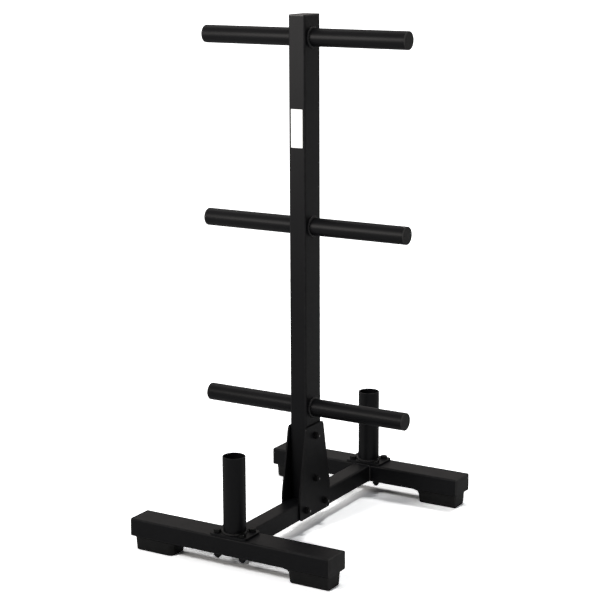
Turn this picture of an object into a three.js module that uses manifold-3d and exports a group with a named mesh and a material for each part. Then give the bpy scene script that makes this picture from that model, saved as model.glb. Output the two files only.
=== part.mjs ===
// Plate tree: a free-standing rack for weight plates and two upright bars. Millimetres, +Z up.
// The origin is on the floor, in the middle. The pegs and the cross feet run along X, the spine along Y.
import * as THREE from "three";
import { mergeVertices } from "three/addons/utils/BufferGeometryUtils.js";
import Module from "manifold-3d";

const wasm = await Module();
wasm.setup();

// Driving dimensions of the whole rack
const overallHeight = 1403;
const footSpacing = 720; // between the middles of the two cross feet, and so of the two bar holders
const padHeight = 38; // floor to the underside of the base tubes

// Fits and cuts
const clearance = 0.3; // all round a plug in its tube, or a bolt in its nut
const holeClearance = 0.5; // all round a bolt or screw in a drilled hole
const overrun = 10; // how far a cutting body reaches past what it cuts

// Rectangular tubes
const tubeWall = 3;
const tubeCornerRadius = 5;
const uprightWidth = 50; // across X, as the spine's
const uprightDepth = 80; // across Y
const baseTubeHeight = 50;
const crossFootLength = 614; // over its end caps
const crossFootWidth = 80; // across Y

// Plate pegs
const pegDiameter = 48;
const pegWall = 3;
const pegReach = 310; // from the middle of the upright to the face of the end cap
const topPegDrop = 60; // from the top of the rack to the middle of the top pegs
const pegGussetGap = 19; // from the gussets up to the weld beads of the bottom pegs
const pegWeldLeg = 5;

// Moulded plugs in the open tube ends
const capLip = 5;
const capEdgeRadius = 3;
const topCapLip = 4;
const topCapEdge = 2;
const skirtLength = 20;
const skirtWall = 3;

// Gusset plates
const gussetThickness = 5;
const gussetHeight = 257;
const gussetBottomWidth = 161;
const gussetTopWidth = 90;
const gussetStraightHeight = 70; // of its sides below the taper
const gussetCornerRadius = 10;
const gussetChamfer = 7;
const spineBoltSpacing = 100;
const lowerBoltRise = 54; // above the spine
const uprightBoltPitch = 122;

// Bar holders and their flanges
const holderDiameter = 60;
const holderWall = 3;
const holderHeight = 205;
const holderWeldLeg = 4.5;
const holderRimRadius = 1;
const flangeLength = 112;
const flangeWidth = 80;
const flangeThickness = 6;
const flangeCornerRadius = 12;
const holderBoltSpacing = 76; // along X
const holderBoltGauge = 48; // along Y

// Bolts, washers and lock nuts
const boltDiameter = 10;
const hexAcrossFlats = 17;
const boltHeadHeight = 6.4;
const washerDiameter = 20;
const washerThickness = 2;
const nutHexHeight = 6.5;
const nutCollarHeight = 3.5;
const nutCollarDiameter = 14.5;
const nutCollarRadius = 2;
const boltEndLength = 2; // beyond its nut
const boltEndChamfer = 1;

// Foot pads and their screws
const padLength = 123; // of the block under its flare
const padWidth = 66;
const padInset = 6.5; // from the end of the cross foot to the block
const padCornerRadius = 15;
const padDraft = 1.5; // how much each side draws in towards the floor
const padBottomRadius = 3;
const padFlareInner = 19; // towards the middle of the cross foot
const padFlareOuter = 2;
const padFlareSide = 5;
const padFlareHeight = 18;
const padRimHeight = 1;
const screwDiameter = 6;
const screwHeadDiameter = 12;
const screwHeadHeight = 4;
const screwRecessDiameter = 16;
const screwRecessDepth = 12;
const screwReach = 6; // past the wall of the tube

// Facets of the round pieces
const pegFacets = 20;
const holderFacets = 24;
const hexSides = 6;
const fastenerFacets = 2 * hexSides;
const cornerSteps = 2;
const roundSteps = 3;

// Sizes worked out from the above
const baseTop = padHeight + baseTubeHeight;
const uprightLength = overallHeight - topCapLip - baseTop;
const spineLength = footSpacing - crossFootWidth;
const crossTubeLength = crossFootLength - 2 * capLip;
const pegLength = pegReach - uprightWidth / 2 - capLip;
const nutHeight = nutHexHeight + nutCollarHeight;
const boltHole = boltDiameter + 2 * holeClearance;
const screwHole = screwDiameter + 2 * holeClearance;
const padPlace = crossFootLength / 2 - padInset - padLength / 2;
const sides = { left: -1, right: 1 };
const ends = { front: -1, rear: 1 };

// Each mesh has a material of its own, from one of these finishes.
const paintedSteel = { color: 0x202123, roughness: 0.45, metalness: 0.2 };
const mouldedPlastic = { color: 0x2b2c2d, roughness: 0.55, metalness: 0 };
const mouldedRubber = { color: 0x1c1c1d, roughness: 0.8, metalness: 0 };
const blackenedSteel = { color: 0x151516, roughness: 0.35, metalness: 0.7 };

const plateTree = new THREE.Group();
plateTree.name = "plate_tree";

// A geometry with its shared vertices merged and its collapsed triangles dropped.
function closed(geometry) {
  const bare = geometry.clone();
  bare.deleteAttribute("normal");
  bare.deleteAttribute("uv");
  const merged = mergeVertices(bare);
  const corners = merged.getIndex().array;
  const kept = [];
  for (let first = 0; first < corners.length; first += 3) {
    const [a, b, c] = corners.slice(first, first + 3);
    if (a !== b && b !== c && c !== a) {
      kept.push(a, b, c);
    }
  }
  merged.setIndex(kept);
  return merged;
}

function solidOf(geometry) {
  const merged = closed(geometry);
  const vertProperties = new Float32Array(merged.getAttribute("position").array);
  const triVerts = new Uint32Array(merged.getIndex().array);
  return new wasm.Manifold(new wasm.Mesh({ numProp: 3, vertProperties, triVerts }));
}

function geometryOf(solid) {
  const mesh = solid.getMesh();
  const geometry = new THREE.BufferGeometry();
  geometry.setAttribute("position", new THREE.BufferAttribute(mesh.vertProperties, 3));
  geometry.setIndex(new THREE.BufferAttribute(mesh.triVerts, 1));
  return geometry;
}

function joined(...geometries) {
  return geometryOf(geometries.map(solidOf).reduce((whole, piece) => whole.add(piece)));
}

function cut(geometry, ...tools) {
  return geometryOf(tools.map(solidOf).reduce((whole, tool) => whole.subtract(tool), solidOf(geometry)));
}

// Adds a named piece at a place, turned about the axes by the angles given.
function addPiece(name, geometry, finish, place, turn = [0, 0, 0]) {
  const mesh = new THREE.Mesh(closed(geometry), new THREE.MeshStandardMaterial(finish));
  mesh.name = name;
  mesh.position.set(...place);
  mesh.rotation.set(...turn);
  plateTree.add(mesh);
}

// An outline with rounded corners, centred on the origin.
function roundedRectangle(width, height, radius, path = new THREE.Shape()) {
  const x = width / 2;
  const y = height / 2;
  path.moveTo(radius - x, -y);
  path.lineTo(x - radius, -y);
  path.absarc(x - radius, radius - y, radius, -Math.PI / 2, 0);
  path.lineTo(x, y - radius);
  path.absarc(x - radius, y - radius, radius, 0, Math.PI / 2);
  path.lineTo(radius - x, y);
  path.absarc(radius - x, y - radius, radius, Math.PI / 2, Math.PI);
  path.lineTo(-x, radius - y);
  path.absarc(radius - x, radius - y, radius, Math.PI, 1.5 * Math.PI);
  return path;
}

function extruded(shape, depth, curveSegments = cornerSteps) {
  return new THREE.ExtrudeGeometry(shape, { depth, curveSegments, bevelEnabled: false });
}

// A tube of rounded rectangular section, its inner corners never sharper than a share of the outer.
const innerCornerShare = 0.25;
const innerCorner = (radius, inset) => Math.max(radius - inset, radius * innerCornerShare);
function rectangularTube(width, height, radius, wall, length) {
  const innerRadius = innerCorner(radius, wall);
  const shape = roundedRectangle(width, height, radius);
  shape.holes.push(roundedRectangle(width - 2 * wall, height - 2 * wall, innerRadius, new THREE.Path()));
  return extruded(shape, length);
}

// Lays an extrusion along X or along Y, the second direction of its outline upwards.
const alongX = (geometry) => geometry.rotateX(Math.PI / 2).rotateZ(Math.PI / 2);
const alongY = (geometry) => geometry.rotateX(Math.PI / 2).rotateZ(Math.PI);

// A closed body through rounded rectangles stacked along Z, the lowest first.
function stacked(sections) {
  const rings = sections.map(({ width, height, radius, z, x = 0 }) => {
    const points = roundedRectangle(width, height, radius).getPoints(cornerSteps).slice(0, -1);
    return points.map((point) => [point.x + x, point.y, z]);
  });
  const count = rings[0].length;
  const triangles = [];
  for (let level = 1; level < rings.length; level += 1) {
    for (let corner = 0; corner < count; corner += 1) {
      const low = (level - 1) * count + corner;
      const lowNext = (level - 1) * count + ((corner + 1) % count);
      triangles.push(low, lowNext, lowNext + count, low, lowNext + count, low + count);
    }
  }
  const topStart = (rings.length - 1) * count;
  for (let corner = 1; corner < count - 1; corner += 1) {
    triangles.push(0, corner + 1, corner);
    triangles.push(topStart, topStart + corner, topStart + corner + 1);
  }
  const geometry = new THREE.BufferGeometry();
  geometry.setAttribute("position", new THREE.Float32BufferAttribute(rings.flat(2), 3));
  geometry.setIndex(triangles);
  return geometry;
}

// A body turned about +Z from [radius, height] points.
function turned(points, facets) {
  const profile = points.map(([radius, height]) => new THREE.Vector2(radius, height));
  return new THREE.LatheGeometry(profile, facets).rotateX(Math.PI / 2);
}

// Quarter of a rounding as [inward, upward] shares of its radius, from an upright side to a level top.
function quarterShares(steps) {
  return Array.from({ length: steps + 1 }, (_, step) => {
    const angle = (step / steps) * (Math.PI / 2);
    return [1 - Math.cos(angle), Math.sin(angle)];
  });
}

// Outer edge of a turned piece, rounded from its side to its top.
function roundedEdge(radius, top, edge) {
  const shares = quarterShares(cornerSteps);
  return shares.map(([inward, upward]) => [radius - edge * inward, top - edge * (1 - upward)]);
}

// Weld bead round a tube's root as [outward, upward] points, from the plate up to the tube.
const weldBeadShares = [[1, 0], [0.7, 0.7], [0, 1]];
function weldBead(radius, leg) {
  return weldBeadShares.map(([outward, upward]) => [radius + leg * outward, leg * upward]);
}

function drill(diameter, length) {
  return new THREE.CylinderGeometry(diameter / 2, diameter / 2, length, fastenerFacets);
}

// Drills that run along X or Z, centred on a place.
const drillX = (diameter, length, place) => drill(diameter, length).rotateZ(Math.PI / 2).translate(...place);
const drillZ = (diameter, length, place) => drill(diameter, length).rotateX(Math.PI / 2).translate(...place);

// Bolt places through the gussets, as distance along Y and height above the floor.
const gussetBoltPlaces = {
  spine_front: [-spineBoltSpacing / 2, padHeight + baseTubeHeight / 2],
  spine_rear: [spineBoltSpacing / 2, padHeight + baseTubeHeight / 2],
  upright_lower: [0, baseTop + lowerBoltRise],
  upright_upper: [0, baseTop + lowerBoltRise + uprightBoltPitch],
};

// Bolt places round a bar holder, from the middle of its cross foot.
const holderBoltPlaces = {
  front_left: [-holderBoltSpacing / 2, -holderBoltGauge / 2],
  front_right: [holderBoltSpacing / 2, -holderBoltGauge / 2],
  rear_left: [-holderBoltSpacing / 2, holderBoltGauge / 2],
  rear_right: [holderBoltSpacing / 2, holderBoltGauge / 2],
};

// Upright, standing on the spine, drilled through for its two gusset bolts.
function addUpright() {
  const tube = rectangularTube(uprightWidth, uprightDepth, tubeCornerRadius, tubeWall, uprightLength);
  const places = [gussetBoltPlaces.upright_lower, gussetBoltPlaces.upright_upper];
  const holes = places.map(([y, z]) => drillX(boltHole, uprightWidth + overrun, [0, y, z - baseTop]));
  addPiece("upright", cut(tube, ...holes), paintedSteel, [0, 0, baseTop]);
}

// A plug for a rectangular tube, lip up: the lip rests on the tube's end, and the skirt hangs inside it.
function tubePlug(width, height, lip, edge) {
  const lipSection = (inset, z) => ({
    width: width - 2 * inset,
    height: height - 2 * inset,
    radius: tubeCornerRadius - inset,
    z,
  });
  const edgeSections = quarterShares(cornerSteps).map(([inward, upward]) =>
    lipSection(edge * inward, lip - edge * (1 - upward))
  );
  const plate = stacked([lipSection(0, 0), ...edgeSections]);
  const ease = tubeWall + clearance;
  const skirtCorner = innerCorner(tubeCornerRadius, ease);
  const skirtDepth = skirtLength + lip / 2;
  const skirt = rectangularTube(width - 2 * ease, height - 2 * ease, skirtCorner, skirtWall, skirtDepth);
  return joined(plate, skirt.translate(0, 0, -skirtLength));
}

function addUprightCap() {
  const plug = tubePlug(uprightWidth, uprightDepth, topCapLip, topCapEdge);
  addPiece("upright_cap", plug, mouldedPlastic, [0, 0, baseTop + uprightLength]);
}

// A peg turned about its own axis, its root at zero with the weld bead round it.
function pegTube() {
  const radius = pegDiameter / 2;
  const bore = radius - pegWall;
  const outside = [...weldBead(radius, pegWeldLeg), [radius, pegLength]];
  return turned([[bore, 0], ...outside, [bore, pegLength], [bore, 0]], pegFacets);
}

// A plug for a peg, its lip rounded at the edge.
function pegPlug() {
  const radius = pegDiameter / 2;
  const skirtRadius = radius - pegWall - clearance;
  const hollow = skirtRadius - skirtWall;
  const skirt = [[0, 0], [hollow, 0], [hollow, -skirtLength], [skirtRadius, -skirtLength], [skirtRadius, 0]];
  const lip = [[radius, 0], ...roundedEdge(radius, capLip, capEdgeRadius), [0, capLip]];
  return turned([...skirt, ...lip], pegFacets);
}

// Three pegs a side, evenly spaced from above the gussets to the top of the rack.
function addPegs() {
  const top = overallHeight - topPegDrop;
  const bottom = padHeight + gussetHeight + pegGussetGap + pegWeldLeg + pegDiameter / 2;
  const levels = { top, middle: (top + bottom) / 2, bottom };
  for (const [side, way] of Object.entries(sides)) {
    for (const [level, z] of Object.entries(levels)) {
      const turn = [0, (way * Math.PI) / 2, 0];
      const root = (way * uprightWidth) / 2;
      addPiece(`peg_${side}_${level}`, pegTube(), paintedSteel, [root, 0, z], turn);
      addPiece(`peg_cap_${side}_${level}`, pegPlug(), mouldedPlastic, [root + way * pegLength, 0, z], turn);
    }
  }
}

// Gusset outline: level bottom with chamfered corners, upright sides, then a taper to rounded top corners.
function gussetOutline() {
  const bottom = gussetBottomWidth / 2;
  const top = gussetTopWidth / 2;
  const taper = new THREE.Vector2(bottom - top, gussetStraightHeight - gussetHeight);
  taper.setLength(gussetCornerRadius);
  const shape = new THREE.Shape();
  shape.moveTo(gussetChamfer - bottom, 0);
  shape.lineTo(bottom - gussetChamfer, 0);
  shape.lineTo(bottom, gussetChamfer);
  shape.lineTo(bottom, gussetStraightHeight);
  shape.lineTo(top + taper.x, gussetHeight + taper.y);
  shape.quadraticCurveTo(top, gussetHeight, top - gussetCornerRadius, gussetHeight);
  shape.lineTo(gussetCornerRadius - top, gussetHeight);
  shape.quadraticCurveTo(-top, gussetHeight, -top - taper.x, gussetHeight + taper.y);
  shape.lineTo(-bottom, gussetStraightHeight);
  shape.lineTo(-bottom, gussetChamfer);
  return shape;
}

function addGussets() {
  const plate = alongX(extruded(gussetOutline(), gussetThickness, roundSteps));
  const holes = Object.values(gussetBoltPlaces).map(([y, z]) =>
    drillX(boltHole, gussetThickness + overrun, [gussetThickness / 2, y, z - padHeight])
  );
  const drilled = cut(plate, ...holes);
  addPiece("gusset_left", drilled, paintedSteel, [-uprightWidth / 2 - gussetThickness, 0, padHeight]);
  addPiece("gusset_right", drilled, paintedSteel, [uprightWidth / 2, 0, padHeight]);
}

// Spine between the cross feet, drilled through for two gusset bolts.
function addSpine() {
  const tube = rectangularTube(uprightWidth, baseTubeHeight, tubeCornerRadius, tubeWall, spineLength);
  const laid = alongY(tube).translate(0, -spineLength / 2, 0);
  const places = [gussetBoltPlaces.spine_front, gussetBoltPlaces.spine_rear];
  const holes = places.map(([y]) => drillX(boltHole, uprightWidth + overrun, [0, y, 0]));
  addPiece("spine", cut(laid, ...holes), paintedSteel, [0, 0, padHeight + baseTubeHeight / 2]);
}

// Cross foot, drilled through for the bar holder's bolts and in its lower wall for the pad screws.
function crossFoot() {
  const tube = rectangularTube(crossFootWidth, baseTubeHeight, tubeCornerRadius, tubeWall, crossTubeLength);
  const laid = alongX(tube).translate(-crossTubeLength / 2, 0, 0);
  const boltHoles = Object.values(holderBoltPlaces).map(([x, y]) =>
    drillZ(boltHole, baseTubeHeight + overrun, [x, y, 0])
  );
  const screwHoles = Object.values(sides).map((way) =>
    drillZ(screwHole, tubeWall + overrun, [way * padPlace, 0, tubeWall / 2 - baseTubeHeight / 2])
  );
  return cut(laid, ...boltHoles, ...screwHoles);
}

// Foot pad: a drafted block, rounded at the floor and flared under the tube, with a recess for its screw.
function footPad() {
  const blockTop = padHeight - padRimHeight - padFlareHeight;
  const section = (z, inset, flare) => ({
    width: padLength - 2 * inset + flare * (padFlareInner + padFlareOuter),
    height: padWidth - 2 * inset + 2 * flare * padFlareSide,
    radius: padCornerRadius - inset + flare * padFlareSide,
    z,
    x: (flare * (padFlareOuter - padFlareInner)) / 2,
  });
  const floorEdge = quarterShares(cornerSteps).reverse().map(([inward, upward]) =>
    section(padBottomRadius * (1 - upward), padDraft + padBottomRadius * inward, 0)
  );
  const flare = quarterShares(roundSteps).map(([outward, upward]) =>
    section(blockTop + padFlareHeight * upward, 0, outward)
  );
  const block = stacked([...floorEdge, ...flare, section(padHeight, 0, 1)]);
  const recessMiddle = (screwRecessDepth - overrun) / 2;
  const recess = drillZ(screwRecessDiameter, screwRecessDepth + overrun, [0, 0, recessMiddle]);
  const hole = drillZ(screwHole, padHeight + 2 * overrun, [0, 0, padHeight / 2]);
  return cut(block, recess, hole);
}

// Screw, its domed head down in the pad's recess, reaching through the tube's lower wall.
const screwDomeShare = 0.5; // of the head's radius and of its height
function padScrew() {
  const head = screwHeadDiameter / 2;
  const shank = screwDiameter / 2;
  const low = screwRecessDepth - screwHeadHeight;
  const top = padHeight + tubeWall + screwReach;
  const dome = [[head * (1 - screwDomeShare), low], [head, low + screwHeadHeight * screwDomeShare]];
  const seat = [[head, screwRecessDepth], [shank, screwRecessDepth]];
  return turned([[0, low], ...dome, ...seat, [shank, top], [0, top]], fastenerFacets);
}

function addCrossFeet() {
  for (const [end, depthWay] of Object.entries(ends)) {
    const y = (depthWay * footSpacing) / 2;
    const middle = padHeight + baseTubeHeight / 2;
    addPiece(`cross_foot_${end}`, crossFoot(), paintedSteel, [0, y, middle]);
    for (const [side, way] of Object.entries(sides)) {
      const turn = [0, 0, way < 0 ? Math.PI : 0];
      const tubeEnd = [(way * crossTubeLength) / 2, y, middle];
      const cap = alongX(tubePlug(crossFootWidth, baseTubeHeight, capLip, capEdgeRadius));
      addPiece(`foot_cap_${end}_${side}`, cap, mouldedPlastic, tubeEnd, turn);
      addPiece(`foot_pad_${end}_${side}`, footPad(), mouldedRubber, [way * padPlace, y, 0], turn);
      addPiece(`pad_screw_${end}_${side}`, padScrew(), blackenedSteel, [way * padPlace, y, 0], turn);
    }
  }
}

// Bar holder tube, open at the top, its rim eased and its root ringed by a weld bead.
function holderTube() {
  const radius = holderDiameter / 2;
  const bore = radius - holderWall;
  const bead = weldBead(radius, holderWeldLeg);
  const rim = roundedEdge(radius, holderHeight, holderRimRadius);
  return turned([[bore, 0], ...bead, ...rim, [bore, holderHeight], [bore, 0]], holderFacets);
}

function holderFlange() {
  const plate = extruded(roundedRectangle(flangeLength, flangeWidth, flangeCornerRadius), flangeThickness);
  const holes = Object.values(holderBoltPlaces).map(([x, y]) =>
    drillZ(boltHole, flangeThickness + overrun, [x, y, flangeThickness / 2])
  );
  return cut(plate, ...holes);
}

// Hexagon that stands on zero.
function hexagon(height) {
  const corner = hexAcrossFlats / 2 / Math.cos(Math.PI / hexSides);
  const block = new THREE.CylinderGeometry(corner, corner, height, hexSides);
  return block.rotateX(Math.PI / 2).translate(0, 0, height / 2);
}

// A washer, with its hole left out where the bolt's own shank fills it.
function washer() {
  return drillZ(washerDiameter, washerThickness, [0, 0, washerThickness / 2]);
}

// Bolt with its washer, head up, the washer's underside at zero and the shank below it.
function bolt(grip) {
  const radius = boltDiameter / 2;
  const end = -grip - washerThickness - nutHeight - boltEndLength;
  const tip = [[0, end], [radius - boltEndChamfer, end], [radius, end + boltEndChamfer]];
  const shank = turned([...tip, [radius, washerThickness], [0, washerThickness]], fastenerFacets);
  return joined(washer(), shank, hexagon(boltHeadHeight).translate(0, 0, washerThickness));
}

// Lock nut with its washer, the washer's underside at zero and the domed collar up.
function lockNut() {
  const radius = nutCollarDiameter / 2;
  const dome = roundedEdge(radius, nutHeight, nutCollarRadius);
  const collar = turned([[0, 0], [radius, 0], ...dome, [0, nutHeight]], fastenerFacets);
  const body = joined(hexagon(nutHexHeight), collar).translate(0, 0, washerThickness);
  const bore = drillZ(boltDiameter + 2 * clearance, nutHeight + 2 * overrun, [0, 0, nutHeight / 2]);
  return cut(joined(washer(), body), bore);
}

function addBarHolders() {
  const flangeTop = baseTop + flangeThickness;
  for (const [end, depthWay] of Object.entries(ends)) {
    const y = (depthWay * footSpacing) / 2;
    addPiece(`bar_holder_${end}`, holderTube(), paintedSteel, [0, y, flangeTop]);
    addPiece(`holder_flange_${end}`, holderFlange(), paintedSteel, [0, y, baseTop]);
    for (const [corner, [x, offset]] of Object.entries(holderBoltPlaces)) {
      const grip = flangeThickness + baseTubeHeight;
      const headPlace = [x, y + offset, flangeTop];
      const nutPlace = [x, y + offset, padHeight];
      addPiece(`holder_bolt_${end}_${corner}`, bolt(grip), blackenedSteel, headPlace);
      addPiece(`holder_nut_${end}_${corner}`, lockNut(), blackenedSteel, nutPlace, [Math.PI, 0, 0]);
    }
  }
}

// Gusset bolts go in from the left, and their nuts close on the right-hand plate.
function addGussetFasteners() {
  const face = uprightWidth / 2 + gussetThickness;
  for (const [name, [y, z]] of Object.entries(gussetBoltPlaces)) {
    addPiece(`gusset_bolt_${name}`, bolt(2 * face), blackenedSteel, [-face, y, z], [0, -Math.PI / 2, 0]);
    addPiece(`gusset_nut_${name}`, lockNut(), blackenedSteel, [face, y, z], [0, Math.PI / 2, 0]);
  }
}

addUpright();
addUprightCap();
addPegs();
addGussets();
addSpine();
addCrossFeet();
addBarHolders();
addGussetFasteners();

export default plateTree;
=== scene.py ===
# Looks of the plate tree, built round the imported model. Metres, +Z up, the origin on the floor.
import math

import bmesh
import bpy
from mathutils import Matrix, Vector


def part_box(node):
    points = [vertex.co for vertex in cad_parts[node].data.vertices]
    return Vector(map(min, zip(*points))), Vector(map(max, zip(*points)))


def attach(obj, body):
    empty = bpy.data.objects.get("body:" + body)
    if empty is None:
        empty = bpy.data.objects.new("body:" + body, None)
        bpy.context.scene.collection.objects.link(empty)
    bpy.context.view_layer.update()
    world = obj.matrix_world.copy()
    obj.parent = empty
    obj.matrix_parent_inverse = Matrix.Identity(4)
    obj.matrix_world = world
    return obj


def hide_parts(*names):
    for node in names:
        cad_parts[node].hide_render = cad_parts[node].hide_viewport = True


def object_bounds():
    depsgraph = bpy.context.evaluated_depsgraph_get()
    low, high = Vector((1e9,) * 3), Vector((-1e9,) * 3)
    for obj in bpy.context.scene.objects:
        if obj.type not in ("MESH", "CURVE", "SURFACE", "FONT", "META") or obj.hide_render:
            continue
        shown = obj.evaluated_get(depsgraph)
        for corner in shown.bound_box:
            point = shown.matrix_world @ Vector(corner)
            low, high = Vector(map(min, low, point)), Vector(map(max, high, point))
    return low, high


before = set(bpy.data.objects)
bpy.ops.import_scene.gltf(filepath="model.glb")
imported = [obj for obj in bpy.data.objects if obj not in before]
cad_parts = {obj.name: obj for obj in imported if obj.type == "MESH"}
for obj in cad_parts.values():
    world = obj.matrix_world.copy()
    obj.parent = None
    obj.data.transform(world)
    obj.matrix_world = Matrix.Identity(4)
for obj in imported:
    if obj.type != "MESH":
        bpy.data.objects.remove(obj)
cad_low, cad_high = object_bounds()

MM = 0.001

# Camera of the photograph
CAMERA_PLACE = Vector((2.3316, -3.9041, 1.6416))
CAMERA_AZIMUTH = math.radians(31.024)  # to the right of the front
CAMERA_PITCH = math.radians(12.425)  # downwards
CAMERA_ROLL = math.radians(-0.254)
CAMERA_LENS = 103.52  # millimetres, as is the sensor's width
CAMERA_SENSOR = 36.0

# Sizes that the boxes of the nodes don't give
TUBE_WALL = 3 * MM
TUBE_CORNER = 5 * MM
TUBE_INNER_CORNER = 2.4 * MM
TUBE_END_EASE = 0.4 * MM
FIT = 0.3 * MM  # between a plug and its tube, a washer and its bolt, a screw and its bore
PLUG_LEAST_CORNER = 0.4 * MM
SKIRT_LENGTH = 20 * MM
SKIRT_WALL = 3 * MM
END_CAP_EDGE = 3 * MM  # of the plugs in the cross feet and the pegs
TOP_CAP_EDGE = 2 * MM
PEG_RADIUS = 24 * MM
PEG_WELD_LEG = 5 * MM
HOLDER_RADIUS = 30 * MM
HOLDER_RIM = 1.2 * MM
HOLDER_WELD_LEG = 4.5 * MM
SPINE_WELD_LEG = 4 * MM
SPINE_WELD_CROWN = 1.2 * MM
PLATE_EASE = 0.6 * MM
FLANGE_CORNER = 12 * MM
GUSSET_TOP_WIDTH = 90 * MM
GUSSET_STRAIGHT = 70 * MM
GUSSET_CORNER = 10 * MM
GUSSET_CHAMFER = 7 * MM
BOLT_RADIUS = 5 * MM
BOLT_END = 2 * MM
BOLT_END_CHAMFER = 1 * MM
BOLT_CUT_RADIUS = 3.2 * MM  # of the bare middle of its end
BOLT_CUT_RISE = 0.25 * MM
BOLT_CUT_SINK = 0.3 * MM
THREAD_PITCH = 1.5 * MM
THREAD_DEPTH = 0.6 * MM
WASHER_RADIUS = 10 * MM
WASHER_THICKNESS = 2 * MM
WASHER_EASE = 0.5 * MM
HEX_ACROSS = 17 * MM
HEX_FACE_SHARE = 0.95  # of the hexagon's width, across the circle left by its chamfer
HEX_CHAMFER_SLOPE = math.tan(math.radians(30))
HEAD_HEIGHT = 6.4 * MM
NUT_HEX_HEIGHT = 6.5 * MM
NUT_COLLAR_HEIGHT = 3.5 * MM
NUT_COLLAR_RADIUS = 7.25 * MM
NUT_COLLAR_EDGE = 2 * MM
NUT_RING_PLAY = 0.6 * MM  # round the bolt
NUT_RING_DROP = 0.5 * MM  # below the collar's top
# Radii of the block's corners, from the outer rear one round to the outer front one
PAD_CORNERS = (16 * MM, 15 * MM, 15 * MM, 3 * MM)
PAD_LEAST_CORNER = 0.5 * MM
PAD_DRAFT = 1.5 * MM
PAD_FLOOR_EDGE = 3 * MM
PAD_FLARE_INNER = 19 * MM
PAD_FLARE_OUTER = 2 * MM
PAD_FLARE_SIDE = 5 * MM
PAD_FLARE_HEIGHT = 18 * MM
PAD_RIM = 1 * MM
PAD_TOP_EASE = 0.4 * MM
RECESS_RADIUS = 8 * MM
RECESS_DEPTH = 12 * MM
SCREW_BORE_RADIUS = 3 * MM
SCREW_TIP_LENGTH = 3 * MM
SCREW_TIP_RADIUS = 0.3 * MM
SCREW_HEAD_RADIUS = 6 * MM
SCREW_HEAD_HEIGHT = 4 * MM
LABEL_WIDTH = 35 * MM
LABEL_BOTTOM = 1056.5 * MM
LABEL_TOP = 1158 * MM
LABEL_THICKNESS = 0.25 * MM
LABEL_CORNER = 1.5 * MM

# Weld beads, laid as overlapping scallops
BEAD_PITCH = 3.8 * MM
BEAD_STEPS = 6  # along each scallop
BEAD_ARC_STEPS = 6  # across the bead
BEAD_DIP_SHARE = 0.2  # of the bead's leg, between two scallops
BEAD_SINK = 0.4 * MM

# Fineness of the meshes
CORNER_STEPS = 8
EDGE_STEPS = 6
ROUND_COUNT = 96
FASTENER_COUNT = 48
THREAD_STEPS = 12  # along each turn of a thread
EASE_STEPS = 3
ROUND_PROFILE = 0.5  # of a bevel
SMOOTH_ANGLE = math.radians(32)
SHARP_ANGLE = math.radians(60)

# Bends of the surface, as one over their radius, between which the wear of the edges sets in
GENTLE_BEND = 1 / (12 * MM)
TIGHT_BEND = 1 / (5 * MM)
BEND_NAME = "bend"

SIDES = {"left": -1, "right": 1}
ENDS = {"front": -1, "rear": 1}
LEVELS = ("top", "middle", "bottom")
HOLDER_CORNERS = ("front_left", "front_right", "rear_left", "rear_right")
GUSSET_FASTENERS = ("spine_front", "spine_rear", "upright_lower", "upright_upper")


# Shells: each is a list of points and a list of faces

def shell_of(rings, looped=False):
    """A closed shell through rings of equally many points, its two ends capped unless they meet."""
    count = len(rings[0])
    points = [point for ring in rings for point in ring]
    faces = []
    for level in range(len(rings) if looped else len(rings) - 1):
        low = level * count
        high = (level + 1) % len(rings) * count
        for here in range(count):
            ahead = (here + 1) % count
            faces.append((low + here, low + ahead, high + ahead, high + here))
    if not looped:
        faces.append(tuple(reversed(range(count))))
        faces.append(tuple(range(len(points) - count, len(points))))
    return points, faces


def rounded_ring(width, depth, radius, height, shift=0.0):
    """A rounded rectangle at a height, counter-clockwise from above, with one radius or a tuple of four."""
    points = []
    radii = radius if isinstance(radius, tuple) else (radius,) * 4
    for quarter, (across, along) in enumerate(((1, 1), (-1, 1), (-1, -1), (1, -1))):
        reach = radii[quarter]
        centre_x = shift + across * (width / 2 - reach)
        centre_y = along * (depth / 2 - reach)
        for step in range(CORNER_STEPS + 1):
            angle = (quarter + step / CORNER_STEPS) * math.pi / 2
            x = centre_x + reach * math.cos(angle)
            y = centre_y + reach * math.sin(angle)
            points.append(Vector((x, y, height)))
    return points


def round_ring(radius, height, count=ROUND_COUNT):
    """A circle at a height. Its radius and its height may be functions of the angle."""
    points = []
    for step in range(count):
        angle = step / count * math.tau
        reach = radius(angle) if callable(radius) else radius
        rise = height(angle) if callable(height) else height
        points.append(Vector((reach * math.cos(angle), reach * math.sin(angle), rise)))
    return points


def ring_seen_from(outline, radius, height):
    """A circle at a height, with one point in the direction of each point of an outline."""
    middle_x = (min(point.x for point in outline) + max(point.x for point in outline)) / 2
    points = []
    for point in outline:
        way = Vector((point.x - middle_x, point.y)).normalized()
        points.append(Vector((way.x * radius, way.y * radius, height)))
    return points


def quarter_shares():
    """Quarter of a rounding as (inward, upward) shares of its radius, from a side to a top."""
    angles = [step / EDGE_STEPS * math.pi / 2 for step in range(EDGE_STEPS + 1)]
    return [(1 - math.cos(angle), math.sin(angle)) for angle in angles]


def turned(profile, count=ROUND_COUNT, looped=False):
    """A shell turned about +Z from (radius, height) points."""
    return shell_of([round_ring(radius, height, count) for radius, height in profile], looped)


def edge_out(radius, top, edge):
    """Rounded outer edge, from the side of a turned piece to its top."""
    return [(radius - edge * inward, top - edge * (1 - upward)) for inward, upward in quarter_shares()]


def edge_in(radius, top, edge):
    """Rounded edge of a bore, from the top of a turned piece into its hole."""
    shares = reversed(quarter_shares())
    return [(radius + edge * inward, top - edge * (1 - upward)) for inward, upward in shares]


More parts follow.
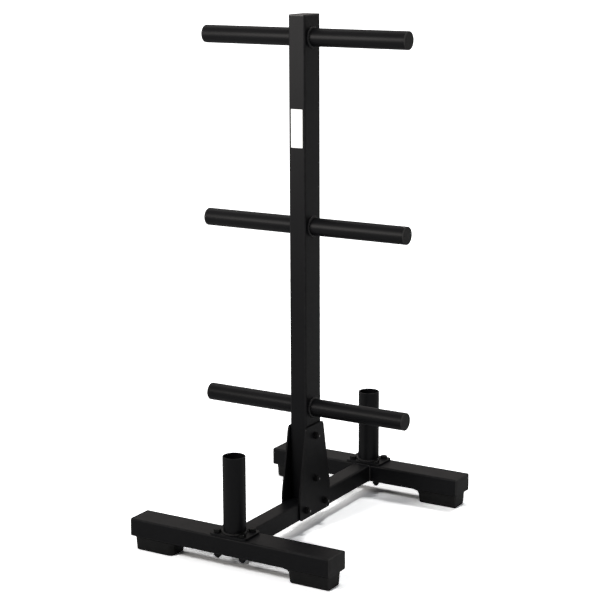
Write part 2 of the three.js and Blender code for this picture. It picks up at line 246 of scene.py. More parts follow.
def scallop(place):
    """How full a weld bead is at a place counted in scallops, from its dips to its crests."""
    off_middle = 2 * (place % 1) - 1
    return 1 - BEAD_DIP_SHARE * (1 - math.sqrt(1 - off_middle * off_middle))


def round_bead(radius, leg):
    """Weld bead round the root of a tube that stands on a flat face."""
    scallops = round(math.tau * radius / BEAD_PITCH)
    rings = []
    for step in range(scallops * BEAD_STEPS):
        angle = step / (scallops * BEAD_STEPS) * math.tau
        full = leg * scallop(step / BEAD_STEPS)
        section = [(radius - BEAD_SINK, -BEAD_SINK)]
        for across in range(BEAD_ARC_STEPS + 1):
            turn = across / BEAD_ARC_STEPS * math.pi / 2
            section.append((radius + full * math.cos(turn), full * math.sin(turn)))
        cosine, sine = math.cos(angle), math.sin(angle)
        rings.append([Vector((reach * cosine, reach * sine, rise)) for reach, rise in section])
    return shell_of(rings, looped=True)


def even_walk(outline, spacing):
    """Points a near-even spacing apart round an outline, each with the way out of it."""
    sides = [(outline[i], outline[(i + 1) % len(outline)]) for i in range(len(outline))]
    total = sum((end - start).length for start, end in sides)
    count = round(total / spacing)
    walked = []
    passed = 0.0
    for start, end in sides:
        length = (end - start).length
        while length and len(walked) < count and len(walked) * total / count <= passed + length:
            share = (len(walked) * total / count - passed) / length
            walked.append(start.lerp(end, share))
        passed += length
    ways = []
    for i in range(len(walked)):
        along = walked[(i + 1) % len(walked)] - walked[i - 1]
        ways.append(Vector((along.y, -along.x, 0)).normalized())
    return list(zip(walked, ways))


def butt_bead(width, height, radius, leg, crown):
    """Weld bead round the end of a rectangular tube: a fillet at its sides, a low crown above and below."""
    outline = rounded_ring(width, height, radius, 0.0)
    rings = []
    for step, (point, way) in enumerate(even_walk(outline, BEAD_PITCH / BEAD_STEPS)):
        full = scallop(step / BEAD_STEPS)
        level = abs(way.y)
        ring = [point - way * BEAD_SINK - Vector((0, 0, BEAD_SINK)) - Vector((0, 0, leg)) * level]
        for across in range(BEAD_ARC_STEPS + 1):
            turn = across / BEAD_ARC_STEPS * math.pi / 2
            fillet = (leg * full * math.cos(turn), leg * full * math.sin(turn))
            sink = BEAD_SINK * math.cos(2 * turn) ** 2
            crest = (crown * full * math.sin(2 * turn) - sink, -leg * math.cos(2 * turn))
            out = fillet[0] * (1 - level) + crest[0] * level
            along = fillet[1] * (1 - level) + crest[1] * level
            ring.append(point + way * out + Vector((0, 0, along)))
        rings.append(ring)
    return shell_of(rings, looped=True)


# Pieces

def add_piece(name, shells, finishes, place=Matrix.Identity(4), stands_for=(), ease=0.0):
    """A piece made of closed shells, each with its finish, in its place, riding on the rack's one body."""
    form = bmesh.new()
    used = list(dict.fromkeys(finishes))
    for (points, faces), finish in zip(shells, finishes, strict=True):
        corners = [form.verts.new(place @ point) for point in points]
        for face in faces:
            form.faces.new([corners[index] for index in face]).material_index = used.index(finish)
    bmesh.ops.recalc_face_normals(form, faces=form.faces)
    if ease:
        ease_edges(form, ease)
    mark_bends(form)
    mesh = bpy.data.meshes.new(name)
    form.to_mesh(mesh)
    form.free()
    for finish in used:
        mesh.materials.append(finish)
    mesh.shade_smooth()
    mesh.set_sharp_from_angle(angle=SMOOTH_ANGLE)
    piece = bpy.data.objects.new(name, mesh)
    bpy.context.scene.collection.objects.link(piece)
    flat = piece.modifiers.new("Flat faces stay flat", "WEIGHTED_NORMAL")
    flat.keep_sharp = True
    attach(piece, "root")
    if stands_for:
        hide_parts(*stands_for)


def ease_edges(form, ease):
    """Rounds the sharp edges of a plate."""
    sharp = [edge for edge in form.edges if edge.calc_face_angle() > SHARP_ANGLE]
    rounding = {"segments": EASE_STEPS, "profile": ROUND_PROFILE}
    bmesh.ops.bevel(form, geom=sharp, offset=ease, affect="EDGES", **rounding)


def mark_bends(form):
    """Stores how tightly the surface bends outwards at each point, from 0 where gently to 1 on an edge."""
    bends = form.verts.layers.float.new(BEND_NAME)
    for edge in form.edges:
        reach = sum(face.calc_area() for face in edge.link_faces) / edge.calc_length() / 2
        tightness = edge.calc_face_angle_signed() / reach
        share = (tightness - GENTLE_BEND) / (TIGHT_BEND - GENTLE_BEND)
        for corner in edge.verts:
            corner[bends] = max(corner[bends], min(share, 1.0))


def middle(node):
    low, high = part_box(node)
    return (low + high) / 2


def facing_x(way, place):
    """Turns local +Z to +X or -X, local +Y kept, and moves it to a place."""
    return Matrix.Translation(place) @ Matrix.Rotation(way * math.pi / 2, 4, "Y")


def facing_y(way, place):
    """Turns local +Z to +Y or -Y, local +Y to the vertical, and moves it to a place."""
    return Matrix.Translation(place) @ Matrix.Rotation(-way * math.pi / 2, 4, "X")


def square_tube(width, depth, bottom, top):
    """A hollow tube of rounded rectangular section along +Z, the edges of its ends eased."""
    ease = TUBE_END_EASE

    def outside(inset, height):
        return rounded_ring(width - 2 * inset, depth - 2 * inset, TUBE_CORNER - inset, height)

    hollow_width = width - 2 * TUBE_WALL
    hollow_depth = depth - 2 * TUBE_WALL
    rings = [outside(ease, bottom), outside(0, bottom + ease)]
    rings += [outside(0, top - ease), outside(ease, top)]
    rings.append(rounded_ring(hollow_width, hollow_depth, TUBE_INNER_CORNER, top))
    rings.append(rounded_ring(hollow_width, hollow_depth, TUBE_INNER_CORNER, bottom))
    return shell_of(rings, looped=True)


def square_plug(width, depth, lip, edge):
    """A plug for a rectangular tube: its skirt hangs below zero and its rounded lip stands above."""
    skirt = TUBE_WALL + FIT

    def ring(inset, height):
        radius = max(TUBE_CORNER - inset, PLUG_LEAST_CORNER)
        return rounded_ring(width - 2 * inset, depth - 2 * inset, radius, height)

    rings = [ring(skirt + SKIRT_WALL, 0), ring(skirt + SKIRT_WALL, -SKIRT_LENGTH)]
    rings += [ring(skirt, -SKIRT_LENGTH), ring(skirt, 0), ring(0, 0)]
    rings += [ring(edge * inward, lip - edge * (1 - upward)) for inward, upward in quarter_shares()]
    return shell_of(rings)


def add_upright():
    low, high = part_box("upright")
    size = high - low
    centre = middle("upright")
    tube = square_tube(size.x, size.y, 0, size.z)
    base = Matrix.Translation(Vector((centre.x, centre.y, low.z)))
    add_piece("upright_tube", [tube], [paint], base, ["upright"])
    plug = square_plug(size.x, size.y, cad_high.z - high.z, TOP_CAP_EDGE)
    top = Matrix.Translation(Vector((centre.x, centre.y, high.z)))
    add_piece("upright_end_cap", [plug], [smooth], top, ["upright_cap"])


def add_pegs():
    for side, way in SIDES.items():
        for level in LEVELS:
            name = f"{side}_{level}"
            low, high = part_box(f"peg_{name}")
            length = high.x - low.x
            centre = middle(f"peg_{name}")
            root = Vector((low.x if way > 0 else high.x, centre.y, centre.z))
            place = facing_x(way, root)
            bore = PEG_RADIUS - TUBE_WALL
            wall = [(bore, 0), (PEG_RADIUS, 0), (PEG_RADIUS, length - TUBE_END_EASE)]
            wall += [(PEG_RADIUS - TUBE_END_EASE, length), (bore, length)]
            tube = turned(wall, looped=True)
            add_piece(f"peg_tube_{name}", [tube], [paint], place, [f"peg_{name}"])
            bead = round_bead(PEG_RADIUS, PEG_WELD_LEG)
            add_piece(f"peg_weld_{name}", [bead], [weld], place)
            add_peg_cap(name, way, root + Vector((way * length, 0, 0)))


def add_peg_cap(name, way, place):
    node = f"peg_cap_{name}"
    low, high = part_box(node)
    lip = (high.x - place.x) if way > 0 else (place.x - low.x)
    outside = PEG_RADIUS - TUBE_WALL - FIT
    inside = outside - SKIRT_WALL
    skirt = [(inside, 0), (inside, -SKIRT_LENGTH), (outside, -SKIRT_LENGTH), (outside, 0)]
    cap = turned(skirt + [(PEG_RADIUS, 0)] + edge_out(PEG_RADIUS, lip, END_CAP_EDGE))
    add_piece(f"peg_end_cap_{name}", [cap], [plastic], facing_x(way, place), [node])


def gusset_outline(width, height):
    """Half of the gusset's outline from the bottom up, as (out, up) points, its top corner a curve."""
    half = width / 2
    top = GUSSET_TOP_WIDTH / 2
    taper = Vector((half - top, GUSSET_STRAIGHT - height)).normalized() * GUSSET_CORNER
    start = Vector((top, height)) + taper
    corner = Vector((top, height))
    end = Vector((top - GUSSET_CORNER, height))
    points = [(half - GUSSET_CHAMFER, 0), (half, GUSSET_CHAMFER), (half, GUSSET_STRAIGHT)]
    for step in range(CORNER_STEPS + 1):
        share = step / CORNER_STEPS
        points.append(start.lerp(corner, share).lerp(corner.lerp(end, share), share))
    return points


def add_gussets():
    for side in SIDES:
        node = f"gusset_{side}"
        low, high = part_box(node)
        size = high - low
        half = gusset_outline(size.y, size.z)
        outline = half + [(-out, up) for out, up in reversed(half)]
        centre = middle(node).y
        rings = [[Vector((x, centre + out, low.z + up)) for out, up in outline] for x in (low.x, high.x)]
        plate = shell_of(rings)
        name = f"gusset_plate_{side}"
        add_piece(name, [plate], [paint], stands_for=[node], ease=PLATE_EASE)


def add_base():
    low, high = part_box("spine")
    size = high - low
    centre = middle("spine")
    tube = square_tube(size.x, size.z, 0, size.y)
    start = Vector((centre.x, low.y, centre.z))
    add_piece("spine_tube", [tube], [paint], facing_y(1, start), ["spine"])
    for end, way in ENDS.items():
        bead = butt_bead(size.x, size.z, TUBE_CORNER, SPINE_WELD_LEG, SPINE_WELD_CROWN)
        seam = Vector((start.x, low.y if way < 0 else high.y, start.z))
        add_piece(f"spine_weld_{end}", [bead], [weld], facing_y(-way, seam))
        add_cross_foot(end)


def add_cross_foot(end):
    node = f"cross_foot_{end}"
    low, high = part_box(node)
    size = high - low
    centre = middle(node)
    tube = square_tube(size.z, size.y, 0, size.x)
    start = Vector((low.x, centre.y, centre.z))
    add_piece(f"cross_foot_tube_{end}", [tube], [paint], facing_x(1, start), [node])
    for side, way in SIDES.items():
        cap = f"foot_cap_{end}_{side}"
        tube_end = Vector((low.x if way < 0 else high.x, centre.y, centre.z))
        lip = abs(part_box(cap)[0 if way < 0 else 1].x - tube_end.x)
        plug = square_plug(size.z, size.y, lip, END_CAP_EDGE)
        name = f"foot_end_cap_{end}_{side}"
        add_piece(name, [plug], [plastic], facing_x(way, tube_end), [cap])
        add_foot_pad(end, side, way)


def add_foot_pad(end, side, way):
    """A moulded pad and its screw. Those on the left are the same, turned half round."""
    node = f"foot_pad_{end}_{side}"
    low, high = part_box(node)
    size = high - low
    length = size.x - PAD_FLARE_INNER - PAD_FLARE_OUTER
    width = size.y - 2 * PAD_FLARE_SIDE
    outer_end = high.x if way > 0 else -low.x
    block_middle = outer_end - PAD_FLARE_OUTER - length / 2
    turn = Matrix.Rotation(0 if way > 0 else math.pi, 4, "Z")
    place = Matrix.Translation(Vector((way * block_middle, middle(node).y, low.z))) @ turn
    block = pad_shell(length, width, size.z)
    add_piece(f"foot_pad_block_{end}_{side}", [block], [rubber], place, [node])
    screw_node = f"pad_screw_{end}_{side}"
    screw = pad_screw(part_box(screw_node)[1].z)
    add_piece(f"pad_screw_steel_{end}_{side}", [screw], [steel], place, [screw_node])


def pad_shell(length, width, height):
    """A drafted block, rounded at the floor, flared out below the tube, and bored for its screw."""
    block_top = height - PAD_RIM - PAD_FLARE_HEIGHT

    def section(rise, inset, flare):
        least = [max(radius - inset, 0) + PAD_LEAST_CORNER for radius in PAD_CORNERS]
        corners = [radius + flare * PAD_FLARE_SIDE for radius in least]
        return rounded_ring(
            length - 2 * inset + flare * (PAD_FLARE_INNER + PAD_FLARE_OUTER),
            width - 2 * inset + 2 * flare * PAD_FLARE_SIDE,
            tuple(corners),
            rise,
            flare * (PAD_FLARE_OUTER - PAD_FLARE_INNER) / 2,
        )

    quarter = quarter_shares()
    floor = section(0, PAD_DRAFT + PAD_FLOOR_EDGE, 0)
    bore = [(SCREW_BORE_RADIUS, height), (SCREW_BORE_RADIUS, RECESS_DEPTH)]
    bore += [(RECESS_RADIUS, RECESS_DEPTH), (RECESS_RADIUS, 0)]
    rings = [ring_seen_from(floor, radius, rise) for radius, rise in bore]
    for inward, upward in reversed(quarter):
        rings.append(section(PAD_FLOOR_EDGE * (1 - upward), PAD_DRAFT + PAD_FLOOR_EDGE * inward, 0))
    rings += [section(block_top + PAD_FLARE_HEIGHT * upward, 0, outward) for outward, upward in quarter]
    rings.append(section(height - PAD_TOP_EASE, 0, 1))
    rings.append(section(height, PAD_TOP_EASE, 1))
    return shell_of(rings, looped=True)


def pad_screw(tip):
    """A pan-headed screw with its head in the pad's recess, up to its tip's height over the floor."""
    low = RECESS_DEPTH - SCREW_HEAD_HEIGHT
    dome = SCREW_HEAD_HEIGHT / 2
    quarter = reversed(quarter_shares())
    head = [(SCREW_HEAD_RADIUS - dome * inward, low + dome * (1 - upward)) for inward, upward in quarter]
    shank = SCREW_BORE_RADIUS - FIT
    seat = [(SCREW_HEAD_RADIUS, RECESS_DEPTH), (shank, RECESS_DEPTH)]
    point = [(shank, tip - SCREW_TIP_LENGTH), (SCREW_TIP_RADIUS, tip)]
    return turned(head + seat + point, FASTENER_COUNT)


def hex_reach(angle):
    """From the middle of a hexagon to its side, one flat facing the angle zero."""
    sixth = math.pi / 3
    return HEX_ACROSS / 2 / math.cos((angle + sixth / 2) % sixth - sixth / 2)


def hex_shell(low, high, chamfered_below):
    """A hexagon cut by a cone at its top, and also at its bottom if asked."""
    face = HEX_ACROSS / 2 * HEX_FACE_SHARE

    def dip(angle):
        return (hex_reach(angle) - face) * HEX_CHAMFER_SLOPE

    rings = [round_ring(face, low, FASTENER_COUNT)]
    if chamfered_below:
        rings.append(round_ring(hex_reach, lambda angle: low + dip(angle), FASTENER_COUNT))
    else:
        rings.append(round_ring(hex_reach, low, FASTENER_COUNT))
    rings.append(round_ring(hex_reach, lambda angle: high - dip(angle), FASTENER_COUNT))
    rings.append(round_ring(face, high, FASTENER_COUNT))
    return shell_of(rings)


def washer_shell():
    ease = WASHER_EASE
    bore = BOLT_RADIUS + FIT
    profile = [(bore, 0)]
    profile += [(WASHER_RADIUS - ease * (1 - upward), ease * inward) for inward, upward in quarter_shares()]
    profile += edge_out(WASHER_RADIUS, WASHER_THICKNESS, ease)
    profile.append((bore, WASHER_THICKNESS))
    return turned(profile, FASTENER_COUNT, looped=True)


def threaded_end(low, high):
    """The end of a bolt, its thread running out in a chamfer."""
    steps = round((high - low) / THREAD_PITCH * THREAD_STEPS)
    rings = []
    for step in range(steps + 1):
        height = low + (high - low) * step / steps
        limit = BOLT_RADIUS - max(0, height - (high - BOLT_END_CHAMFER))

        def reach(angle, height=height, limit=limit):
            turn = (height / THREAD_PITCH - angle / math.tau) % 1
            groove = THREAD_DEPTH * (1 - abs(2 * turn - 1))
            return min(limit, BOLT_RADIUS - groove)

        rings.append(round_ring(reach, height, FASTENER_COUNT))
    return shell_of(rings)


def lock_nut_shells():
    """A washer, a hexagon and the domed collar round the ring that grips the thread."""
    hex_top = WASHER_THICKNESS + NUT_HEX_HEIGHT
    top = hex_top + NUT_COLLAR_HEIGHT
    bore = BOLT_RADIUS + NUT_RING_PLAY
    collar = [(bore, WASHER_THICKNESS), (NUT_COLLAR_RADIUS, WASHER_THICKNESS)]
    collar += edge_out(NUT_COLLAR_RADIUS, top, NUT_COLLAR_EDGE) + [(bore, top - NUT_RING_DROP)]
    shells = [washer_shell(), hex_shell(WASHER_THICKNESS, hex_top, True)]
    shells.append(turned(collar, FASTENER_COUNT, looped=True))
    return shells


def bolt_shells(grip):
    """A washer, a chamfered head, a shank, its threaded end beyond the nut and the bare middle of that."""
    nut_top = WASHER_THICKNESS + NUT_HEX_HEIGHT + NUT_COLLAR_HEIGHT
    end = -grip - nut_top - BOLT_END
    thread_start = end + BOLT_END + NUT_COLLAR_HEIGHT
    shank = turned([(BOLT_RADIUS, thread_start), (BOLT_RADIUS, WASHER_THICKNESS)], FASTENER_COUNT)
    points, faces = threaded_end(-thread_start, -end)
    flipped = [Vector((point.x, -point.y, -point.z)) for point in points]
    head = hex_shell(WASHER_THICKNESS, WASHER_THICKNESS + HEAD_HEIGHT, False)
    cut = [(BOLT_CUT_RADIUS, end - BOLT_CUT_RISE), (BOLT_CUT_RADIUS, end + BOLT_CUT_SINK)]
    return [washer_shell(), head, shank, (flipped, faces), turned(cut, FASTENER_COUNT)]


def flange_shell(size):
    """A plate with rounded corners and eased edges, its underside at zero."""

    def ring(inset, height):
        return rounded_ring(size.x - 2 * inset, size.y - 2 * inset, FLANGE_CORNER - inset, height)

    ease = PLATE_EASE
    quarter = quarter_shares()
    rings = [ring(ease * (1 - upward), ease * inward) for inward, upward in quarter]
    rings += [ring(ease * inward, size.z - ease * (1 - upward)) for inward, upward in quarter]
    return shell_of(rings)


def add_bar_holders():
    for end in ENDS:
        flange = f"holder_flange_{end}"
        low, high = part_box(flange)
        centre = middle(flange)
        plate = flange_shell(high - low)
        base = Matrix.Translation(Vector((centre.x, centre.y, low.z)))
        add_piece(f"holder_flange_plate_{end}", [plate], [paint], base, [flange])
        node = f"bar_holder_{end}"
        holder_low, holder_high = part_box(node)
        height = (holder_high - holder_low).z
        bore = HOLDER_RADIUS - TUBE_WALL
        wall = [(bore, 0), (HOLDER_RADIUS, 0)] + edge_out(HOLDER_RADIUS, height, HOLDER_RIM)
        wall += edge_in(bore, height, HOLDER_RIM)
        tube = turned(wall, looped=True)
        foot = Matrix.Translation(Vector((centre.x, centre.y, high.z)))
        add_piece(f"bar_holder_tube_{end}", [tube], [paint], foot, [node])
        bead = round_bead(HOLDER_RADIUS, HOLDER_WELD_LEG)
        add_piece(f"bar_holder_weld_{end}", [bead], [weld], foot)
        add_holder_fasteners(end, high.z)


def add_holder_fasteners(end, top):
    """The bolts and nuts that clamp a flange, its top at a height, to its cross foot."""
    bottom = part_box(f"cross_foot_{end}")[0].z
    for corner in HOLDER_CORNERS:
        name = f"{end}_{corner}"
        centre = middle(f"holder_bolt_{name}")
        head = Matrix.Translation(Vector((centre.x, centre.y, top)))
        bolt_piece(f"holder_hex_bolt_{name}", f"holder_bolt_{name}", top - bottom, head)
        underside = Matrix.Translation(Vector((centre.x, centre.y, bottom)))
        nut = underside @ Matrix.Rotation(math.pi, 4, "X")
        nut_piece(f"holder_lock_nut_{name}", f"holder_nut_{name}", nut)


def bolt_piece(name, node, grip, place):
    finishes = [steel, steel, steel, steel, bright]
    add_piece(name, bolt_shells(grip), finishes, place, [node])


def nut_piece(name, node, place):
    add_piece(name, lock_nut_shells(), [steel, steel, steel], place, [node])


def add_gusset_fasteners():
    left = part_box("gusset_left")[0].x
    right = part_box("gusset_right")[1].x
    for name in GUSSET_FASTENERS:
        centre = middle(f"gusset_bolt_{name}")
        head = facing_x(-1, Vector((left, centre.y, centre.z)))
        bolt_piece(f"gusset_hex_bolt_{name}", f"gusset_bolt_{name}", right - left, head)
        nut = facing_x(1, Vector((right, centre.y, centre.z)))
        nut_piece(f"gusset_lock_nut_{name}", f"gusset_nut_{name}", nut)


def add_label():
    """A bare white label on the front of the upright."""
    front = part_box("upright")[0].y
    centre = Vector((middle("upright").x, front, (LABEL_BOTTOM + LABEL_TOP) / 2))
    height = LABEL_TOP - LABEL_BOTTOM
    rings = [rounded_ring(LABEL_WIDTH, height, LABEL_CORNER, rise) for rise in (0, LABEL_THICKNESS)]
    add_piece("blank_label", [shell_of(rings)], [paper], facing_y(-1, centre))


# Materials

# The Mix node's sockets for colours: its two inputs and its output
MIX_INPUTS = (6, 7)
MIX_OUTPUT = 2
# Noise in the finishes: how much detail each kind has and how rough that is
CLOUD_NOISE = {"detail": 4.0}
PATCH_NOISE = {"detail": 6.0, "roughness": 0.7}
GLOSS_NOISE = {"detail": 5.0, "roughness": 0.6}
GRAIN_NOISE = {"detail": 3.0, "roughness": 0.6}
RIPPLE_NOISE = {"detail": 2.0}
# Values between which a noise goes from all of one to all of the other
SOFT_RANGE = (0.3, 0.7)
PATCH_RANGE = (0.35, 0.65)
LEAST_WEAR = 0.2  # share of the wear in the least worn patches


def add_node(tree, kind, inputs, **settings):
    """A shader node with its settings, each input a value or another node's output."""
    node = tree.nodes.new("ShaderNode" + kind)
    for key, value in settings.items():
        setattr(node, key, value)
    for key, value in inputs.items():
        if isinstance(value, bpy.types.NodeSocket):
            tree.links.new(value, node.inputs[key])
        else:
            node.inputs[key].default_value = value
    return node


def new_material(name):
    material = bpy.data.materials.new(name)
    material.use_nodes = True
    return material, material.node_tree, material.node_tree.nodes["Principled BSDF"]


def grain(tree, place, size, detail, roughness=0.5):
    """Noise whose blobs are about a size across."""
    settings = {"Vector": place, "Scale": 1 / size, "Detail": detail, "Roughness": roughness}
    return add_node(tree, "TexNoise", settings).outputs["Fac"]


def spread(tree, value, low, high, to_low=0.0, to_high=1.0):
    inputs = {"Value": value, "From Min": low, "From Max": high, "To Min": to_low, "To Max": to_high}
    return add_node(tree, "MapRange", inputs).outputs["Result"]


def blend_colours(tree, share, first, second):
    mix = add_node(tree, "Mix", {"Factor": share}, data_type="RGBA")
    for index, colour in zip(MIX_INPUTS, (first, second)):
        if isinstance(colour, bpy.types.NodeSocket):
            tree.links.new(colour, mix.inputs[index])
        else:
            mix.inputs[index].default_value = (*colour, 1.0)
    return mix.outputs[MIX_OUTPUT]


def multiply(tree, first, second):
    return add_node(tree, "Math", {0: first, 1: second}, operation="MULTIPLY").outputs["Value"]


def finish_with(name, look):
    """A finish with cloudy colour, worn edges, uneven gloss and a fine grained surface."""
    material, tree, shader = new_material(name)
    place = add_node(tree, "TexCoord", {}).outputs["Object"]
    bend = add_node(tree, "Attribute", {}, attribute_name=BEND_NAME).outputs["Fac"]
    clouds = spread(tree, grain(tree, place, look["cloud_size"], **CLOUD_NOISE), *SOFT_RANGE)
    colour = blend_colours(tree, clouds, look["dark"], look["light"])
    patches = grain(tree, place, look["wear_size"], **PATCH_NOISE)
    patchy = spread(tree, patches, *PATCH_RANGE, to_low=LEAST_WEAR)
    worn = multiply(tree, multiply(tree, bend, patchy), look["wear"])
    colour = blend_colours(tree, worn, colour, look["worn"])
    tree.links.new(colour, shader.inputs["Base Color"])
    gloss = grain(tree, place, look["gloss_size"], **GLOSS_NOISE)
    tree.links.new(spread(tree, gloss, *SOFT_RANGE, *look["roughness"]), shader.inputs["Roughness"])
    fine = {"Height": grain(tree, place, look["grain_size"], **GRAIN_NOISE)}
    fine.update({"Strength": look["grain"], "Distance": look["grain_depth"]})
    broad = {"Height": grain(tree, place, look["ripple_size"], **RIPPLE_NOISE)}
    broad.update({"Strength": look["ripple"], "Distance": look["ripple_depth"]})
    broad["Normal"] = add_node(tree, "Bump", fine).outputs["Normal"]
    tree.links.new(add_node(tree, "Bump", broad).outputs["Normal"], shader.inputs["Normal"])
    shader.inputs["Metallic"].default_value = look["metallic"]
    shader.inputs["Specular IOR Level"].default_value = look["specular"]
    shader.inputs["Coat Weight"].default_value = look["coat"]
    shader.inputs["Coat Roughness"].default_value = look["coat_roughness"]
    return material


def powder_paint():
    look = {
        "dark": (0.0031, 0.0032, 0.0036), "light": (0.0041, 0.0042, 0.0047), "cloud_size": 90 * MM,
        "worn": (0.048, 0.048, 0.049), "wear": 0.15, "wear_size": 14 * MM,
        "roughness": (0.42, 0.54), "gloss_size": 25 * MM,
        "grain": 0.35, "grain_size": 1.1 * MM, "grain_depth": 0.12 * MM,
        "ripple": 0.25, "ripple_size": 6 * MM, "ripple_depth": 0.15 * MM,
        "metallic": 0.0, "specular": 0.005, "coat": 0.143, "coat_roughness": 0.38,
    }
    return finish_with("satin black powder coat", look)


def welded_paint():
    look = {
        "dark": (0.0031, 0.0032, 0.0036), "light": (0.0046, 0.0047, 0.0052), "cloud_size": 12 * MM,
        "worn": (0.06, 0.06, 0.061), "wear": 0.1, "wear_size": 5 * MM,
        "roughness": (0.35, 0.5), "gloss_size": 6 * MM,
        "grain": 0.3, "grain_size": 0.8 * MM, "grain_depth": 0.1 * MM,
        "ripple": 0.3, "ripple_size": 2.5 * MM, "ripple_depth": 0.15 * MM,
        "metallic": 0.0, "specular": 0.003, "coat": 0.27, "coat_roughness": 0.25,
    }
    return finish_with("satin black paint over weld beads", look)


def grained_plastic():
    look = {
        "dark": (0.0144, 0.0144, 0.0144), "light": (0.0216, 0.0216, 0.0214), "cloud_size": 40 * MM,
        "worn": (0.048, 0.048, 0.048), "wear": 0.12, "wear_size": 6 * MM,
        "roughness": (0.5, 0.62), "gloss_size": 12 * MM,
        "grain": 0.6, "grain_size": 0.7 * MM, "grain_depth": 0.12 * MM,
        "ripple": 0.15, "ripple_size": 9 * MM, "ripple_depth": 0.2 * MM,
        "metallic": 0.0, "specular": 0.0, "coat": 0.157, "coat_roughness": 0.5,
    }
    return finish_with("dark grey moulded plastic", look)


def smooth_plastic():
    look = {
        "dark": (0.0096, 0.0096, 0.0096), "light": (0.0144, 0.0144, 0.0142), "cloud_size": 30 * MM,
        "worn": (0.048, 0.048, 0.048), "wear": 0.2, "wear_size": 6 * MM,
        "roughness": (0.4, 0.5), "gloss_size": 12 * MM,
        "grain": 0.2, "grain_size": 0.7 * MM, "grain_depth": 0.05 * MM,
        "ripple": 0.1, "ripple_size": 9 * MM, "ripple_depth": 0.1 * MM,
        "metallic": 0.0, "specular": 0.0, "coat": 0.336, "coat_roughness": 0.25,
    }
    return finish_with("smooth black plastic of the top plug", look)


def matte_rubber():
    look = {
        "dark": (0.0048, 0.0048, 0.0048), "light": (0.0072, 0.0072, 0.007), "cloud_size": 30 * MM,
        "worn": (0.048, 0.047, 0.045), "wear": 0.2, "wear_size": 8 * MM,
        "roughness": (0.62, 0.8), "gloss_size": 10 * MM,
        "grain": 0.5, "grain_size": 0.9 * MM, "grain_depth": 0.12 * MM,
        "ripple": 0.2, "ripple_size": 7 * MM, "ripple_depth": 0.2 * MM,
        "metallic": 0.0, "specular": 0.0, "coat": 0.2, "coat_roughness": 0.4,
    }
    return finish_with("black moulded rubber", look)


def black_oxide():
    look = {
        "dark": (0.0014, 0.0014, 0.0015), "light": (0.0036, 0.0036, 0.0036), "cloud_size": 8 * MM,
        "worn": (0.072, 0.072, 0.072), "wear": 0.15, "wear_size": 2 * MM,
        "roughness": (0.24, 0.38), "gloss_size": 5 * MM,
        "grain": 0.2, "grain_size": 0.6 * MM, "grain_depth": 0.05 * MM,
        "ripple": 0.1, "ripple_size": 3 * MM, "ripple_depth": 0.05 * MM,
        "metallic": 0.0, "specular": 0.002, "coat": 0.112, "coat_roughness": 0.2,
    }
    return finish_with("black oxide steel", look)


def bright_steel():
    look = {
        "dark": (0.03, 0.03, 0.031), "light": (0.09, 0.089, 0.087), "cloud_size": 3 * MM,
        "worn": (0.3, 0.29, 0.28), "wear": 0.15, "wear_size": 2 * MM,
        "roughness": (0.28, 0.42), "gloss_size": 3 * MM,
        "grain": 0.2, "grain_size": 0.4 * MM, "grain_depth": 0.04 * MM,
        "ripple": 0.1, "ripple_size": 2 * MM, "ripple_depth": 0.05 * MM,
        "metallic": 1.0, "specular": 0.5, "coat": 0.0, "coat_roughness": 0.3,
    }
    return finish_with("bright steel of cut bolt ends", look)


def label_paper():
    look = {
        "dark": (0.74, 0.74, 0.74), "light": (0.78, 0.78, 0.775), "cloud_size": 20 * MM,
        "worn": (0.8, 0.79, 0.77), "wear": 0.3, "wear_size": 3 * MM,
        "roughness": (0.3, 0.4), "gloss_size": 8 * MM,
        "grain": 0.1, "grain_size": 0.5 * MM, "grain_depth": 0.02 * MM,
        "ripple": 0.1, "ripple_size": 5 * MM, "ripple_depth": 0.03 * MM,
        "metallic": 0.0, "specular": 0.5, "coat": 0.0, "coat_roughness": 0.3,
    }
    return finish_with("white label film", look)


# Stage

FLOOR_RADIUS = 40.0
FLOOR_COLOUR = (0.82, 0.82, 0.82)
FLOOR_MIRRORED_COLOUR = (1.14, 1.14, 1.14)  # where a glossy piece shows it
FLOOR_SEEN_COLOUR = (1.93, 1.93, 1.93)  # where the camera sees it
SURROUNDINGS_COLOUR = (1.1, 1.04, 1.0, 1.0)  # white to the camera, a little warm in a gloss
AMBIENT = 0.056
# Broad lamps: where each shines from, its strength, its width in degrees and its colour
BROAD_LAMPS = {
    "overhead": (Vector((0.1, 0.4, 1.0)), 1.19, 14, (1.0, 1.0, 1.0)),
    "front": (Vector((-0.3, -0.8, 1.0)), 1.4, 14, (1.0, 1.0, 1.0)),
    "fill": (Vector((1.1, -0.4, 1.0)), 0.42, 30, (0.94, 0.97, 1.0)),
    "back": (Vector((-0.9, 0.5, 1.0)), 0.35, 25, (1.0, 1.0, 1.0)),
}
MATT_LAMPS = ("front",)  # with no gloss of their own
# The lamp whose gloss shows on the upright and the pegs
KEY_POWER = 7.0
KEY_COLOUR = (1.0, 0.96, 0.93)
KEY_PLACE = Vector((-0.98, -1.95, 1.6))
KEY_AIM = Vector((0, 0, 1.15))
KEY_SIZE = (1.0, 1.3)
KEY_SPREAD = math.radians(58)


def seen_directly(tree):
    """One for rays that show the surroundings as they look, zero for rays that light the object."""
    path = add_node(tree, "LightPath", {})
    seen = path.outputs["Is Camera Ray"]
    for kind in ("Is Glossy Ray", "Is Transmission Ray"):
        both = {0: seen, 1: path.outputs[kind]}
        seen = add_node(tree, "Math", both, operation="ADD", use_clamp=True).outputs["Value"]
    return seen


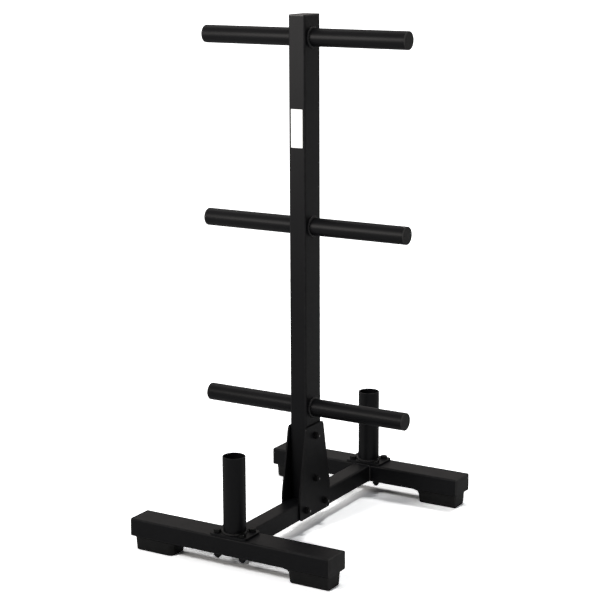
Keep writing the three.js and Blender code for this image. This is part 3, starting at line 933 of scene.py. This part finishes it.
def add_floor():
    material, tree, shader = new_material("pale floor")
    colour = blend_colours(tree, seen_directly(tree), FLOOR_COLOUR, FLOOR_MIRRORED_COLOUR)
    camera_ray = add_node(tree, "LightPath", {}).outputs["Is Camera Ray"]
    colour = blend_colours(tree, camera_ray, colour, FLOOR_SEEN_COLOUR)
    matt = add_node(tree, "BsdfDiffuse", {"Color": colour})
    tree.nodes.remove(shader)
    tree.links.new(matt.outputs["BSDF"], tree.nodes["Material Output"].inputs["Surface"])
    form = bmesh.new()
    bmesh.ops.create_circle(form, cap_ends=True, radius=FLOOR_RADIUS, segments=ROUND_COUNT)
    mesh = bpy.data.meshes.new("floor")
    form.to_mesh(mesh)
    form.free()
    mesh.materials.append(material)
    floor = bpy.data.objects.new("floor", mesh)
    bpy.context.scene.collection.objects.link(floor)


def set_world():
    world = bpy.data.worlds.new("studio")
    bpy.context.scene.world = world
    world.use_nodes = True
    tree = world.node_tree
    tree.nodes.clear()
    ambient = add_node(tree, "Background", {"Color": (1, 1, 1, 1), "Strength": AMBIENT})
    white = add_node(tree, "Background", {"Color": SURROUNDINGS_COLOUR, "Strength": 1.0})
    mix = add_node(tree, "MixShader", {"Fac": seen_directly(tree)})
    tree.links.new(ambient.outputs[0], mix.inputs[1])
    tree.links.new(white.outputs[0], mix.inputs[2])
    output = add_node(tree, "OutputWorld", {})
    tree.links.new(mix.outputs[0], output.inputs["Surface"])


def add_light(name, kind, place, aim, glossy=True, **settings):
    light = bpy.data.lights.new(name, kind)
    for key, value in settings.items():
        setattr(light, key, value)
    lamp = bpy.data.objects.new(name, light)
    lamp.location = place
    lamp.rotation_euler = (aim - place).to_track_quat("-Z", "Y").to_euler()
    lamp.visible_glossy = glossy
    bpy.context.scene.collection.objects.link(lamp)


def add_lights():
    for name, (place, strength, width, colour) in BROAD_LAMPS.items():
        settings = {"energy": strength, "angle": math.radians(width), "color": colour}
        add_light(name, "SUN", place, Vector((0, 0, 0)), glossy=name not in MATT_LAMPS, **settings)
    width, height = KEY_SIZE
    key = {"energy": KEY_POWER, "color": KEY_COLOUR, "spread": KEY_SPREAD}
    add_light("key", "AREA", KEY_PLACE, KEY_AIM, shape="RECTANGLE", size=width, size_y=height, **key)


def place_camera():
    right = Vector((math.cos(CAMERA_AZIMUTH), math.sin(CAMERA_AZIMUTH), 0))
    level = Vector((-math.sin(CAMERA_AZIMUTH), math.cos(CAMERA_AZIMUTH), 0))
    forward = level * math.cos(CAMERA_PITCH) - Vector((0, 0, math.sin(CAMERA_PITCH)))
    up = right.cross(forward)
    rolled_right = right * math.cos(CAMERA_ROLL) + up * math.sin(CAMERA_ROLL)
    rolled_up = up * math.cos(CAMERA_ROLL) - right * math.sin(CAMERA_ROLL)
    data = bpy.data.cameras.new("camera")
    data.lens = CAMERA_LENS
    data.sensor_width = CAMERA_SENSOR
    camera = bpy.data.objects.new("camera", data)
    turn = Matrix((rolled_right, rolled_up, -forward)).transposed().to_4x4()
    camera.matrix_world = Matrix.Translation(CAMERA_PLACE) @ turn
    bpy.context.scene.collection.objects.link(camera)
    bpy.context.scene.camera = camera


paint = powder_paint()
plastic = grained_plastic()
smooth = smooth_plastic()
rubber = matte_rubber()
weld = welded_paint()
steel = black_oxide()
bright = bright_steel()
paper = label_paper()

add_upright()
add_pegs()
add_gussets()
add_base()
add_bar_holders()
add_gusset_fasteners()
add_label()

place_camera()
add_floor()
set_world()
add_lights()
bpy.context.scene.view_settings.view_transform = "Standard"
